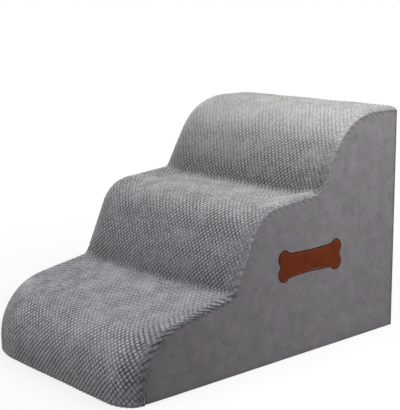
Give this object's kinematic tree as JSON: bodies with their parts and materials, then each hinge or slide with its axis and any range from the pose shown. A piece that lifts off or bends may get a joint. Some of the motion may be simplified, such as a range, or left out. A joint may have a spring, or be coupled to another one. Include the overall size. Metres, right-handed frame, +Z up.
{
  "type": "pet stairs",
  "caption": "Soft foam steps for a small pet, with rounded treads of ribbed plush, suede sides, a bone-shaped patch and a zipped rear.",
  "frame": {"origin": "centre of the footprint on the floor, halfway between the front edge and the rear cloth", "axes": "+Y from the front to the rear, +X to the side with the bone patch, +Z up"},
  "size_m": [0.4005, 0.6181, 0.4],
  "materials": {
    "foam": "open-cell foam",
    "liner_cloth": "white non-woven cloth",
    "tread_plush": "ribbed plush with raised beads",
    "side_suede": "short brushed suede",
    "rear_suede": "short brushed suede",
    "grip_cloth": "woven cloth",
    "grip_rubber": "matte printed dots",
    "zip_tape": "woven tape",
    "zip_coil": "nylon coil",
    "zip_metal": "plated",
    "patch_leather": "flat brown leather",
    "patch_thread": "sewing thread"
  },
  "bodies": {
    "stairs": {"foam_core": "foam", "foam_liner": "liner_cloth", "tread_panel": "tread_plush", "side_panel_right": "side_suede", "side_panel_left": "side_suede", "rear_panel_upper": "rear_suede", "rear_panel_lower": "rear_suede", "bottom_panel": "grip_cloth", "grip_dots": "grip_rubber", "zipper_tape_upper": "zip_tape", "zipper_tape_lower": "zip_tape", "zipper_coil_upper": "zip_coil", "zipper_coil_lower": "zip_coil", "zipper_top_stops": "zip_metal", "zipper_bottom_stop": "zip_metal", "bone_patch": "patch_leather", "patch_thread": "patch_thread"},
    "zip_slider": {"zipper_slider": "zip_metal"},
    "zip_pull": {"zipper_pull": "zip_metal"}
  },
  "joints": [
    {"name": "zip_slide", "type": "slide", "parent": "stairs", "child": "zip_slider", "axis": [1, 0, 0], "range_m": [-0.288, 0], "deforming": ["zipper_coil_upper", "zipper_coil_lower"]},
    {"name": "pull_swing", "type": "hinge", "parent": "zip_slider", "child": "zip_pull", "pos_m": [0.1445, 0.3091, 0.06], "axis": [0, 0, -1], "range_deg": [0, 165]}
  ]
}
